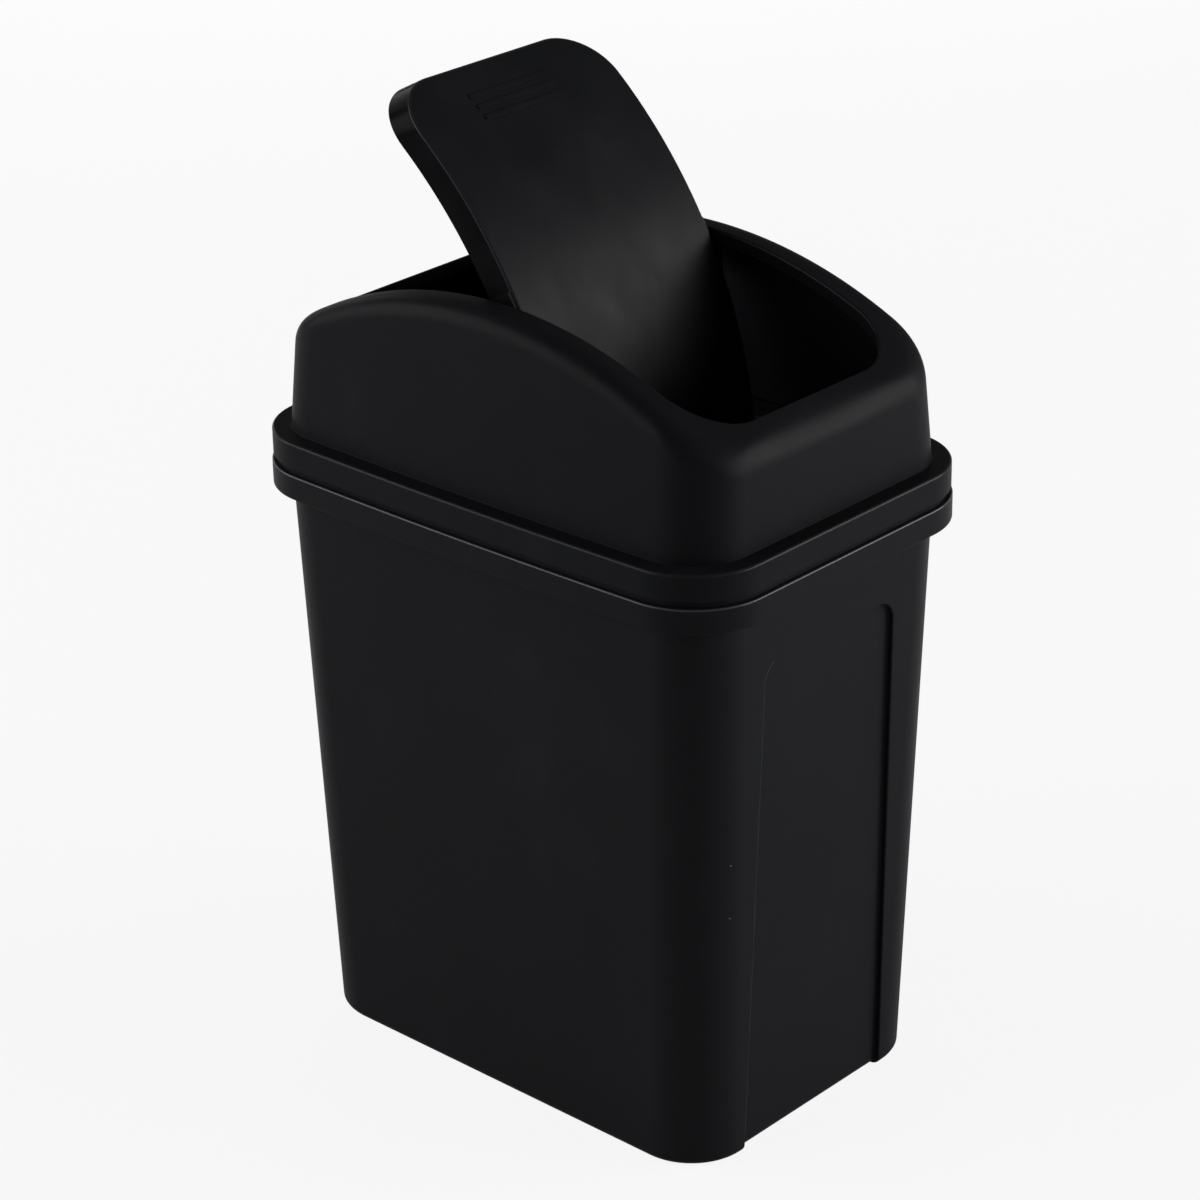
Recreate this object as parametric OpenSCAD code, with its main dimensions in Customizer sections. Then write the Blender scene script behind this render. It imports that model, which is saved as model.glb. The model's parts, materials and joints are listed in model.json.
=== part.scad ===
// Countertop trash can with a lift-off hood and a two-way swing flap.
// Millimetres, +Z up. The origin is at the middle of the base, on the surface that the bin stands on.
// X runs across the bin, along the flap's pivot. Y runs along the bin.

/* [Bin] */
// Height of the seam, where the hood stands on the rim
bin_h = 216; // [150:1:320]
// Width of the base, across X
base_w = 122; // [90:1:170]
// Length of the base, along Y
base_l = 184; // [150:1:260]
// Width of the tub at the seam
top_w = 132; // [110:1:180]
// Length of the tub at the seam
top_l = 198; // [170:1:270]
// Corner radius of the tub, seen from above
tub_r = 21.5; // [12:0.5:30]
// Wall of the bin
bin_wall = 1.8; // [1.2:0.1:3]
// Thickness of the base
base_t = 2.4; // [1.6:0.1:4]
// Fillet round the bottom edge
base_fillet = 3; // [1:0.5:6]
// Hollow under the base, inside the ring that it stands on
foot_hollow = 1; // [0.5:0.1:1.5]
// Width of the ring that the bin stands on
foot_w = 7; // [4:0.5:12]

/* [Rim] */
// How far the rim band stands out from the tub
rim_out = 6.6; // [5:0.1:10]
// How far the long sides of the rim bow out at the middle
rim_bow = 1.2; // [0:0.1:3]
// Height of the band that turns down
band_h = 8.8; // [5:0.1:14]
// Gap between the hood's skirt and the lip of the rim that stands up inside it
skirt_gap = 0.4; // [0.2:0.1:1]
// Gap between the top of that lip and the hood's ledge
ledge_gap = 1.9; // [0.5:0.1:4]

/* [End recess] */
// Width of the recess at its top
recess_top_w = 66; // [40:1:80]
// Width of the recess at the base
recess_base_w = 73; // [42:1:86]
// Distance from the seam down to the recess
recess_drop = 30; // [16:1:60]
// Depth of the recess
recess_d = 2; // [0.8:0.1:3]
// Radius of the recess's top corners
recess_r = 8; // [3:0.5:14]

/* [Hood] */
// How far the hood's skirt stands behind the band
skirt_set = 0.5; // [0:0.1:1]
// Height of the skirt, from the seam to the ledge
skirt_h = 11.7; // [11:0.1:18]
// Width of the ledge, from the skirt to the wall of the housing
ledge_w = 6.7; // [4:0.1:10]
// Height of the crown above the seam, at mid-length
crown_h = 74.7; // [70:0.1:110]
// Radius of the arch along the hood
arch_r = 173; // [160:1:260]
// Lean of the long walls, inward per mm of height
lean_x = 0.096; // [0.03:0.002:0.11]
// Lean of the end walls, inward per mm of height
lean_y = 0.036; // [0.01:0.002:0.06]
// Size of the rounded shoulder between wall and top
shoulder = 7.6; // [3:0.1:9]
// Wall of the hood
hood_wall = 1.8; // [1.2:0.1:2.4]
// Width of the border along each long side, from the wall to the opening
side_border = 10.3; // [9.5:0.1:16]
// Width of the border at each end
end_border = 9.3; // [9:0.1:16]
// Corner radius of the opening
opening_r = 21.2; // [12:0.1:30]
// Depth of the lip that turns down round the opening
lip_h = 5; // [4:0.1:8]

/* [Flap] */
// Gap between the flap and the long sides of the opening
flap_gap_x = 1.9; // [1.2:0.1:3]
// Gap between the flap and the ends of the opening
flap_gap_y = 3.1; // [2.4:0.1:5]
// Thickness of the flap
flap_t = 2; // [1.4:0.1:2.6]
// Depth of the skirt round the flap
flap_skirt = 11.5; // [8:0.1:14]
// Angle at which the flap stands open, from closed
open_angle = 62.4; // [0:0.1:90]

/* [Pivot] */
// Depth of the pivot axis below the crown
pivot_drop = 8.5; // [7:0.1:10]
// Radius of the pivot pins
pin_r = 2.5; // [1.5:0.1:3]
// Running clearance round the pins
pin_gap = 0.05; // [0.02:0.01:0.1]
// How far the pins reach into their seats
pin_reach = 3.4; // [2:0.1:4]
// Thickness of the seats inside the hood
seat_t = 3; // [2:0.1:4]
// Width of the seats, along Y
seat_w = 14; // [10:0.5:20]
// Material of a seat below its pin
seat_land = 3.5; // [2:0.1:5]
// Length of the pad round each pin, along Y
pad_l = 20; // [12:0.1:30]
// Thickness of the pads
pad_t = 0.9; // [0.4:0.1:1]
// Distance from the crown down to the pads
pad_drop = 0.8; // [0.4:0.1:2]

/* [Push mark] */
// Number of raised bars at the end that is pushed
mark_count = 3; // [1:1:5]
// Length of each bar, across the flap
mark_l = 38; // [10:1:50]
// Width of each bar
mark_w = 1.8; // [1:0.1:2.4]
// Distance between two bars
mark_pitch = 4; // [3:0.5:6]
// Distance from the flap's end to the middle bar
mark_inset = 15; // [12:1:40]
// Height of the bars
mark_h = 0.4; // [0.2:0.1:0.8]

/* [Hidden] */
plastic = "#1c1c1e";

// Steps of an outline: round a corner, along a long side, along an end
corner_steps = 8;
side_steps = 12;
end_steps = 4;
// Steps round a fillet, a shoulder and a rolled edge
fillet_steps = 4;
shoulder_steps = 6;
edge_steps = 3;
eps = 0.01;
arc_fn = 360;
pin_fn = 48;
round_fn = 32;

// Half sizes, read as [across X, along Y]
base_half = [base_w, base_l] / 2;
top_half = [top_w, top_l] / 2;
draft = (top_half - base_half) / bin_h;
band_half = top_half + [rim_out, rim_out];
band_r = tub_r + rim_out;
skirt_half = band_half - [skirt_set, skirt_set];
skirt_r = band_r - skirt_set;
foot_half = skirt_half - [ledge_w, ledge_w];
foot_r = skirt_r - ledge_w;
upstand_in = hood_wall + skirt_gap + skirt_set;
upstand_h = skirt_h - hood_wall - ledge_gap;

// Rolled edges, and the shadow line at the seam
edge_r = 1.2;
seam_line = 0.6;
opening_edge = 1;

// The opening lies inside the tops of the walls, which meet the arch at mid-length and at the ends
crown_z = bin_h + crown_h;
end_drop = arch_r - sqrt(pow(arch_r, 2) - pow(foot_half[1], 2));
wall_rise = [crown_h - skirt_h, crown_h - skirt_h - end_drop];
opening_half = foot_half - [lean_x * wall_rise[0] + side_border, lean_y * wall_rise[1] + end_border];
flap_half = opening_half - [flap_gap_x, flap_gap_y];
flap_r = opening_r - (flap_gap_x + flap_gap_y) / 2;

pivot_z = crown_z - pivot_drop;
seat_low = pin_r + seat_land;
lead_in = 1.2;

// An outline is one list of steps, the same for every size, so that rings of different sizes join.
// A step is [corner across X, corner along Y, direction X, direction Y, share of the bow].
corner_at = [[1, 1], [-1, 1], [-1, -1], [1, -1]];

function corner(q) =
    [for (k = [0:corner_steps])
        let (a = 90 * (q + k / corner_steps))
        [corner_at[q][0], corner_at[q][1], cos(a), sin(a), 0]];

function side(q) =
    let (from = corner_at[q], to = corner_at[(q + 1) % 4])
    let (a = 90 * (q + 1), long = q % 2 == 1, n = long ? side_steps : end_steps)
    [for (k = [1:n - 1])
        let (t = k / n, at = from + (to - from) * t)
        [at[0], at[1], cos(a), sin(a), long ? 4 * t * (1 - t) : 0]];

STEPS = [for (q = [0:3]) each concat(corner(q), side(q))];

// Point of one step on an outline with half sizes h, corner radius r and a bow
function spot(s, h, r, bow = 0) =
    [s[0] * (h[0] - r) + s[2] * (r + bow * s[4]), s[1] * (h[1] - r) + s[3] * r];

// Flat ring of an outline at height z
function ring(h, r, z, bow = 0) =
    [for (s = STEPS) let (p = spot(s, h, r, bow)) [p[0], p[1], z]];

function inset(h, by) = h - [by, by];

// Height of the arched top at a distance y from mid-length, and the same sunk by a depth
function arch_z(y, sunk = 0) = crown_z - arch_r + sqrt(pow(arch_r - sunk, 2) - y * y);

// Triangles between two neighbouring rings
function band_faces(a, b, n) =
    [for (i = [0:n - 1])
        let (j = (i + 1) % n)
        each [[a * n + i, b * n + j, a * n + j], [a * n + i, b * n + i, b * n + j]]];

// Solid between the first ring and the last. Each end is closed by triangles round its middle point.
module skin(rings) {
    n = len(rings[0]);
    m = len(rings);
    middles = [for (r = [rings[0], rings[m - 1]]) [0, 0, r[0][2]]];
    sides = [for (k = [0:m - 2]) each band_faces(k, k + 1, n)];
    first = [for (i = [0:n - 1]) [i, (i + 1) % n, n * m]];
    last = [for (i = [0:n - 1]) [(m - 1) * n + (i + 1) % n, (m - 1) * n + i, n * m + 1]];
    polyhedron(concat([for (r = rings) each r], middles), concat(sides, first, last), convexity = 8);
}

// Solid whose last ring joins its first, like a tyre
module loop_skin(rings) {
    n = len(rings[0]);
    m = len(rings);
    sides = [for (k = [0:m - 1]) each band_faces(k, (k + 1) % m, n)];
    polyhedron([for (r = rings) each r], sides, convexity = 8);
}

// Upright prism on an outline
module prism(h, r, z0, z1, bow = 0) {
    translate([0, 0, z0])
        linear_extrude(z1 - z0)
            polygon([for (s = STEPS) spot(s, h, r, bow)]);
}

// Rings of the tub at one draft, from height z0 with a fillet to height z1, sunk in by a wall
function tub_ring(z, in = 0) = ring(inset(base_half + draft * z, in), tub_r - in, z);

function tub_rings(z0, z1, fillet, in) = concat(
    [for (k = [0:fillet_steps])
        let (a = 90 * k / fillet_steps, z = z0 + fillet * (1 - cos(a)))
        ring(inset(base_half + draft * z, in + fillet * (1 - sin(a))), tub_r - in, z)],
    [tub_ring(z1, in)]
);

// Upright slab on the outline of the recess, grown by a margin, over the end at -Y
module recess_slab(grow) {
    mid = recess_top_w / 2 + grow - recess_r;
    low = recess_base_w / 2 + grow;
    top_z = bin_h - recess_drop + grow;
    translate([0, -top_half[1] / 2, 0])
        rotate([90, 0, 0])
            linear_extrude(top_half[1])
                hull() {
                    translate([mid, top_z - recess_r]) circle(recess_r, $fn = round_fn);
                    translate([-mid, top_z - recess_r]) circle(recess_r, $fn = round_fn);
                    translate([-low, 0]) square([2 * low, 1]);
                }
}

// What the recess takes from the end at -Y: all that stands in front of the tub moved inward
module recess_cut(grow, z0, in) {
    difference() {
        recess_slab(grow);
        translate([0, recess_d, 0]) skin(tub_rings(z0, bin_h, base_fillet, in));
    }
}

module both_ends() {
    children();
    rotate(180) children();
}

// Outside of the bin: tub, flange, band and upstand, still solid
module bin_outside() {
    skin(tub_rings(0, bin_h - eps, base_fillet, 0));
    difference() {
        prism(band_half, band_r, bin_h - band_h, bin_h, rim_bow);
        prism(inset(band_half, bin_wall), band_r - bin_wall, bin_h - band_h - 1, bin_h - bin_wall, rim_bow);
    }
    prism(inset(band_half, upstand_in), band_r - upstand_in, bin_h - bin_wall, bin_h + upstand_h, rim_bow);
}

// Space inside the bin: the tub, kept off the recesses, and the wider mouth within the upstand
module bin_inside() {
    mouth_in = upstand_in + bin_wall;
    difference() {
        skin(tub_rings(base_t, bin_h + 1, base_fillet, bin_wall));
        both_ends() recess_cut(bin_wall, base_t, bin_wall);
    }
    prism(inset(band_half, mouth_in), band_r - mouth_in, bin_h, bin_h + upstand_h + 1, rim_bow);
}

module bin() {
    color(plastic)
        difference() {
            bin_outside();
            bin_inside();
            both_ends() recess_cut(0, 0, 0);
            prism(inset(base_half, foot_w + recess_d), tub_r - foot_w, -1, foot_hollow);
        }
}

// Point on the outside of the housing's wall at height z
function wall_spot(s, z, in = 0) =
    let (up = z - bin_h - skirt_h)
    spot(s, inset(foot_half, in) - [lean_x, lean_y] * up, foot_r - in, rim_bow);

// Height at which the wall of a step would meet the arched top, by three corrections
function meet_z(s, in, sunk) =
    let (z1 = arch_z(wall_spot(s, crown_z, in)[1], sunk))
    let (z2 = arch_z(wall_spot(s, z1, in)[1], sunk))
    arch_z(wall_spot(s, z2, in)[1], sunk);

// The rounded shoulder of one step: a curve that leaves the wall and lands on the top
function shoulder_at(s, t, size, in, sunk) =
    let (zc = meet_z(s, in, sunk), c = wall_spot(s, zc, in), a = wall_spot(s, zc - size, in))
    let (o = spot(s, opening_half, opening_r), d = (o - c) / norm(o - c), b = c + d * size)
    let (bz = arch_z(b[1], sunk), u = 1 - t)
    concat(u * u * a + 2 * u * t * c + t * t * b, u * u * (zc - size) + 2 * u * t * zc + t * t * bz);

function shoulder_ring(t, size, in, sunk) = [for (s = STEPS) shoulder_at(s, t, size, in, sunk)];

// Ring on the opening's outline, grown outward, at a depth under the arched top
function opening_ring(grow, depth) =
    [for (s = STEPS)
        let (p = spot(s, inset(opening_half, -grow), opening_r + grow))
        [p[0], p[1], arch_z(p[1]) - depth]];

function foot_ring(z, in) = [for (s = STEPS) let (p = wall_spot(s, z, in)) [p[0], p[1], z]];

function skirt_ring(in, z) = ring(inset(skirt_half, in), skirt_r - in, z, rim_bow);

// The hood's section, walked once round: up the outside, over the top, and back down the inside
function hood_rings() =
    let (seam = bin_h, ledge = bin_h + skirt_h, w = hood_wall, inner = max(shoulder - 1.5 * w, 1))
    concat(
        [skirt_ring(seam_line, seam), skirt_ring(seam_line, seam + seam_line), skirt_ring(0, seam + seam_line)],
        [for (k = [0:edge_steps])
            let (a = 90 * k / edge_steps)
            skirt_ring(edge_r * (1 - cos(a)), ledge - edge_r * (1 - sin(a)))],
        [foot_ring(ledge, 0)],
        [for (k = [0:shoulder_steps]) shoulder_ring(k / shoulder_steps, shoulder, 0, 0)],
        [for (k = [0:edge_steps])
            let (a = 90 * k / edge_steps)
            opening_ring(opening_edge * (1 - sin(a)), opening_edge * (1 - cos(a)))],
        [opening_ring(0, lip_h), opening_ring(w, lip_h), opening_ring(w, w)],
        [for (k = [shoulder_steps:-1:0]) shoulder_ring(k / shoulder_steps, inner, w, w)],
        [foot_ring(ledge - w, w), skirt_ring(w, ledge - w), skirt_ring(w, seam)]
    );

// Seat of one pivot pin, hanging from the border at +X, with a ramp that the pin snaps up
module pivot_seat() {
    top_z = crown_z - hood_wall / 2 - pow(seat_w, 2) / (8 * arch_r);
    low_z = pivot_z - seat_low;
    difference() {
        translate([opening_half[0], -seat_w / 2, low_z]) cube([seat_t, seat_w, top_z - low_z]);
        translate([opening_half[0], 0, low_z])
            rotate([90, 0, 0])
                linear_extrude(2 * pin_r, center = true)
                    polygon([[-1, -1], [lead_in, -1], [lead_in, 0], [0, seat_low - pin_r], [-1, seat_low - pin_r]]);
    }
}

module both_sides() {
    children();
    mirror([1, 0, 0]) children();
}

module hood() {
    color(plastic)
        difference() {
            union() {
                loop_skin(hood_rings());
                both_sides() pivot_seat();
            }
            both_sides()
                translate([opening_half[0] - 1, 0, pivot_z])
                    rotate([0, 90, 0])
                        cylinder(r = pin_r + pin_gap, h = seat_t + 2, $fn = pin_fn);
        }
}

// Everything under the crown's surface, raised or sunk by a height. The pivot axis is at zero.
module under_crown(lift) {
    translate([0, 0, pivot_drop - arch_r + lift])
        rotate([0, 90, 0])
            cylinder(r = arch_r, h = 2 * top_w, center = true, $fn = arc_fn);
}

module flap_plan(in) {
    prism(inset(flap_half, in), flap_r - in, -flap_half[1], flap_half[1]);
}

// Pad and pin of the side at +X
module flap_pivot() {
    intersection() {
        translate([flap_half[0] - flap_t, -pad_l / 2, -flap_skirt])
            cube([flap_t + pad_t, pad_l, 2 * flap_skirt]);
        difference() {
            under_crown(-pad_drop);
            under_crown(-flap_skirt);
        }
    }
    translate([flap_half[0] - flap_t, 0, 0])
        rotate([0, 90, 0])
            cylinder(r = pin_r, h = flap_t + flap_gap_x + pin_reach, $fn = pin_fn);
}

// One raised bar of the push mark, with round ends
module mark_bar(y) {
    straight = mark_l - mark_w;
    intersection() {
        translate([0, y, 0])
            linear_extrude(2 * pivot_drop, center = true)
                union() {
                    square([straight, mark_w], center = true);
                    translate([straight / 2, 0]) circle(mark_w / 2, $fn = round_fn);
                    translate([-straight / 2, 0]) circle(mark_w / 2, $fn = round_fn);
                }
        difference() {
            under_crown(mark_h);
            under_crown(-flap_t / 2);
        }
    }
}

// The flap lying closed, with its pivot axis along X through zero
module flap_closed() {
    difference() {
        intersection() {
            flap_plan(0);
            under_crown(0);
        }
        under_crown(-flap_skirt);
        intersection() {
            flap_plan(flap_t);
            under_crown(-flap_t);
        }
    }
    both_sides() flap_pivot();
    for (k = [0:mark_count - 1])
        mark_bar(flap_half[1] - mark_inset + mark_pitch * (k - (mark_count - 1) / 2));
}

module flap() {
    color(plastic)
        translate([0, 0, pivot_z])
            rotate([open_angle, 0, 0])
                flap_closed();
}

bin();
hood();
flap();
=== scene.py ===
"""Countertop trash can with a lift-off hood and a swing flap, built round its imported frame."""

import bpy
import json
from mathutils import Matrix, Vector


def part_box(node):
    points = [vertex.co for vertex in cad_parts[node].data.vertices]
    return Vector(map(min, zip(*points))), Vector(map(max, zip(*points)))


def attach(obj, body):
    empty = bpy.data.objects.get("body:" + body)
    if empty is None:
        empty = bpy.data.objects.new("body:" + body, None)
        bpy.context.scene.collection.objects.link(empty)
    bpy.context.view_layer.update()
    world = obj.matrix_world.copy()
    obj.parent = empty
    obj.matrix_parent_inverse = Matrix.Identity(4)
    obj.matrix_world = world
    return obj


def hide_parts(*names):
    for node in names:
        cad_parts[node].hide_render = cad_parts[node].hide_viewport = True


bl_info = {
    "name": "Swing Lid Bin",
    "version": (1, 0, 0),
    "blender": (4, 5, 0),
    "location": "View3D > Sidebar > Bin",
    "description": "Builds a countertop trash can with a swing lid, and its studio",
    "category": "Add Mesh",
}

import json
import math

import bmesh
import bpy
import numpy as np
from bpy.props import FloatProperty, FloatVectorProperty, IntProperty, PointerProperty
from mathutils import Matrix, Vector

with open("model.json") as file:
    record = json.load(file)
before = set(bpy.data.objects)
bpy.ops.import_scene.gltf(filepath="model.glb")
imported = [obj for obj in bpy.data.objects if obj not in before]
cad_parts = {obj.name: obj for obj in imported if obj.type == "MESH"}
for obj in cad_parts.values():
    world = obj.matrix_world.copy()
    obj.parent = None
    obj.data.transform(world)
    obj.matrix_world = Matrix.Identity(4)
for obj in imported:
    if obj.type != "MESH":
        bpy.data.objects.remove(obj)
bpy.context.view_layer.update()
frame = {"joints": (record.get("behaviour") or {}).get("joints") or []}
BIN_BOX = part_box("bin")
HOOD_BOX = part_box("hood")
FLAP_SWING = next(j for j in frame["joints"] if j["name"] == "flap_swing")


# -------- sizes and colours


def length(name, description, default):
    """A size in metres"""
    unit = {"subtype": "DISTANCE", "unit": "LENGTH", "precision": 5}
    return FloatProperty(name=name, description=description, default=default, min=0, **unit)


def share(name, description, default, low=0.0, high=1.0):
    """A plain number"""
    limits = {"min": low, "max": high, "precision": 4}
    return FloatProperty(name=name, description=description, default=default, **limits)


def colour(name, description, default):
    """A colour, as linear light"""
    kind = {"size": 3, "min": 0, "max": 1, "subtype": "COLOR"}
    return FloatVectorProperty(name=name, description=description, default=default, **kind)


class BinSizes(bpy.types.PropertyGroup):
    """Sizes of the tub and its rim"""

    seam_z: length("Seam height", "Height of the seam, where the hood stands", HOOD_BOX[0].z)
    base_x: length("Base width", "Width of the base, across X", 0.122)
    base_y: length("Base length", "Length of the base, along Y", 0.184)
    top_x: length("Top width", "Width of the tub at the seam", 0.132)
    top_y: length("Top length", "Length of the tub at the seam", 0.198)
    corner: length("Corner", "Corner radius of the tub, seen from above", 0.0215)
    wall: length("Wall", "Thickness of the walls", 0.0018)
    base_t: length("Base thickness", "Thickness of the base", 0.0024)
    fillet: length("Base fillet", "Fillet round the bottom edge", 0.003)
    hollow: length("Hollow", "Hollow under the base, inside the ring it stands on", 0.001)
    foot: length("Foot ring", "Width of the ring that the bin stands on", 0.007)
    rim_out: length("Rim reach", "How far the rim stands out from the tub", 0.0066)
    bow: length("Rim bow", "How far the long sides of the rim bow out", 0.0012)
    band: length("Band height", "Height of the band that turns down", 0.0088)
    lip_in: length("Lip inset", "Distance from the band in to the lip inside the hood", 0.0027)
    lip_top: length("Lip top", "Height of the top of the lip", BIN_BOX[1].z)
    recess_top: length("Recess width at the top", "Width of the end recess at its top", 0.066)
    recess_base: length("Recess width at the base", "Width of the end recess at the base", 0.073)
    recess_drop: length("Recess drop", "Distance from the seam down to the recess", 0.030)
    recess_d: length("Recess depth", "Depth of the end recess", 0.002)
    recess_r: length("Recess corner", "Radius of the recess's top corners", 0.008)
    recess_foot: length("Recess foot", "Radius where the recess's sides meet its back", 0.0006)
    recess_brim: length("Recess brim", "Radius of the recess's outer edge", 0.0007)
    edge: length("Edge", "Radius of the small edges", 0.0004)
    rim_edge: length("Rim edge", "Radius of the rim's outer top edge", 0.0005)


class HoodSizes(bpy.types.PropertyGroup):
    """Sizes of the hood"""

    skirt_in: length("Skirt inset", "How far the skirt stands behind the band", 0.0005)
    skirt_h: length("Skirt height", "Height from the seam to the ledge", 0.0117)
    ledge: length("Ledge", "Width of the ledge round the housing", 0.0067)
    crown_z: length("Crown height", "Height of the crown at mid-length", HOOD_BOX[1].z)
    arch_r: length("Arch radius", "Radius of the arch along the hood", 0.173)
    lean_x: share("Long wall lean", "Lean of the long walls, inward per height", 0.096)
    lean_y: share("End wall lean", "Lean of the end walls, inward per height", 0.036)
    shoulder: length("Shoulder", "Size of the rounded shoulder", 0.0076)
    wall: length("Wall", "Thickness of the hood", 0.0018)
    side_border: length("Side border", "Border along each long side of the opening", 0.0103)
    end_border: length("End border", "Border at each end of the opening", 0.0093)
    opening_r: length("Opening corner", "Corner radius of the opening", 0.0212)
    lip_h: length("Lip depth", "Depth of the lip round the opening", 0.005)
    ledge_edge: length("Ledge edge", "Radius of the ledge's outer edge", 0.0009)
    foot_fillet: length("Foot fillet", "Fillet where the housing meets the ledge", 0.0002)
    seam_gap: length("Seam gap", "Height of the shadow gap at the foot of the skirt", 0.0023)
    seam_in: length("Seam gap depth", "Depth of the shadow gap at the foot of the skirt", 0.0013)
    opening_edge: length("Opening edge", "Radius of the opening's edge", 0.001)
    seat_t: length("Seat thickness", "Thickness of the pivot seats", 0.003)
    seat_w: length("Seat width", "Width of the pivot seats, along Y", 0.014)
    seat_low: length("Seat depth", "Depth of a seat below the pivot axis", 0.006)
    bore_r: length("Bore radius", "Radius of the bore that a pin turns in", 0.00255)


class FlapSizes(bpy.types.PropertyGroup):
    """Sizes of the flap, lying closed"""

    gap_x: length("Side gap", "Gap between flap and opening along the sides", 0.0019)
    gap_y: length("End gap", "Gap between flap and opening at the ends", 0.0031)
    thick: length("Thickness", "Thickness of the flap", 0.002)
    skirt: length("Skirt", "Depth of the skirt round the flap", 0.0115)
    edge: length("Edge", "Radius of the flap's upper edge", 0.0009)
    pin_r: length("Pin radius", "Radius of the pivot pins", 0.0025)
    pin_out: length("Pin reach", "How far a pin stands out of the flap's side", 0.0053)
    pad_l: length("Pad length", "Length of the pad round each pin", 0.020)
    pad_t: length("Pad thickness", "Thickness of the pads", 0.0009)
    pad_drop: length("Pad drop", "Distance from the crown down to the pads", 0.0008)
    pad_lift: length("Pad lift", "Distance from the skirt's lower edge up to the pads", 0.0004)
    open_angle: FloatProperty(
        name="Open angle",
        description="Angle at which the flap stands open",
        default=math.radians(62.4),
        subtype="ANGLE",
        unit="ROTATION",
    )
    bars: IntProperty(name="Bars", description="Raised bars where it is pushed", default=3, min=1)
    bar_l: length("Bar length", "Length of each bar, across the flap", 0.038)
    bar_w: length("Bar width", "Width of each bar", 0.0018)
    bar_pitch: length("Bar pitch", "Distance between two bars", 0.004)
    bar_in: length("Bar inset", "Distance from the flap's end to the middle bar", 0.015)
    bar_h: length("Bar height", "Height of the bars", 0.0004)


class PlasticFinish(bpy.types.PropertyGroup):
    """Look of the moulded black plastic"""

    base: colour("Plastic", "Colour of the plastic", (0.0093, 0.0096, 0.0109))
    worn: colour("Worn plastic", "Colour where it is rubbed", (0.0140, 0.0144, 0.0160))
    dust: colour("Dust", "Colour of the specks of dust", (0.16, 0.155, 0.15))
    roughness: share("Roughness", "Roughness of the satin surface", 0.40)
    mottle: share("Mottle", "How much the roughness changes over the surface", 0.2)
    smudge: share("Smudge", "How much more blotchy the flap is than the rest", 2.2, high=5)
    gloss: share("Gloss", "Strength of the reflection", 0.05)
    hood_gloss: share("Hood gloss", "Strength of the hood's reflection", 0.035)
    flap_gloss: share("Flap gloss", "Strength of the flap's reflection", 0.062)
    sleek: colour("Polished plastic", "Colour of the polished skirt", (0.0030, 0.0031, 0.0035))
    sleek_roughness: share("Polished roughness", "Roughness of the polished skirt", 0.18)
    sleek_gloss: share("Polished gloss", "Strength of the skirt's reflection", 0.055)
    sleek_ior: share("Polished index", "Refractive index of the polished skirt", 1.2, 1.0, 2.0)
    # Painted highlight: the edges' colour is lighter than the plastic, raised on the bin's rim
    # and lowered on the hood's ledge (with their reflection), to paint light lines on those edges
    edge: colour("Lightened edges", "Colour of the rubbed edges", (0.0205, 0.021, 0.0235))
    edge_roughness: share("Edge roughness", "Roughness of the rubbed edges", 0.26)
    edge_gloss: share("Edge gloss", "Strength of the edges' reflection", 0.11)
    rim_sheen: share("Rim wear", "How much brighter the bin's rubbed edges are", 2.5, high=5)
    ledge_sheen: share("Ledge wear", "How much brighter the hood's rubbed edges are", 0.75, high=5)
    grain: length("Grain", "Size of the moulded grain", 0.0007)
    grain_depth: length("Grain depth", "Depth of the moulded grain", 0.000012)


class StudioSettings(bpy.types.PropertyGroup):
    """Floor, light and camera"""

    floor: colour("Floor", "Colour of the floor", (0.82, 0.82, 0.82))
    paleness: share("Paleness", "How much of the floor's shading gives way to white", 0.88)
    mirrored: share("Mirrored backdrop", "How much of the backdrop shows in reflections", 0.1)
    fill: share("Fill", "Strength of the light from all round", 0.05, high=4)
    key_left: share("Left light", "Power of the light at the left, in watts", 26.0, high=500)
    key_right: share("Right light", "Power of the light at the right, in watts", 32.0, high=500)
    key_back: share("Back light", "Power of the light behind, in watts", 9.0, high=500)
    key_strip: share("Strip light", "Power of the faint strip behind, in watts", 1.2, high=500)
    lens: share("Lens", "Focal length in millimetres, on a 36 mm frame", 111.73157, high=500)


# -------- outlines and lofts

QUARTER = math.pi / 2
# Corners of an outline in turn, as shares of its half width and half length
CORNERS = ((1, 1), (-1, 1), (-1, -1), (1, -1))
# Steps of an outline: round a corner, along a long side, along an end
CORNER_STEPS = 18
SIDE_STEPS = 36
END_STEPS = 14
# Steps round a small rolled edge, a larger fillet, and a pin or its bore
EDGE_STEPS = 5
FILLET_STEPS = 10
ROD_STEPS = 64
# Place of a softened edge's middle ring, as a share of the edge's size
SOFT_MIDDLE = 0.3
# Smoothing: angle from which an edge is sharp, weight of larger faces, and length of an edge
# too short to keep
SHARP_ANGLE = math.radians(32)
FACE_WEIGHT = 60
NO_LENGTH = 5e-6
# Finishes, as places in a piece's list of materials; the second paints a highlight on edges
SATIN, PAINTED_HIGHLIGHT, POLISHED = range(3)
# Edges with a painted highlight: how far a face on the rim or ledge turns up, and how many radii
# deep the opening's and the flap's edges are
RIM_TURN = (0.05, 0.995)
EDGE_DEPTH = 1.1


def outline_steps():
    """Steps of every outline: corner share X and Y, direction X and Y, share of the bow"""
    steps = []
    for q in range(4):
        corner = np.array(CORNERS[q], float)
        onward = np.array(CORNERS[(q + 1) % 4], float) - corner
        for k in range(CORNER_STEPS + 1):
            a = QUARTER * (q + k / CORNER_STEPS)
            steps.append((*corner, math.cos(a), math.sin(a), 0))
        long_side = q % 2 == 1
        count = SIDE_STEPS if long_side else END_STEPS
        a = QUARTER * (q + 1)
        for k in range(1, count):
            t = k / count
            bowed = 4 * t * (1 - t) if long_side else 0
            steps.append((*(corner + onward * t), math.cos(a), math.sin(a), bowed))
    return np.array(steps)


STEPS = outline_steps()


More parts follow.
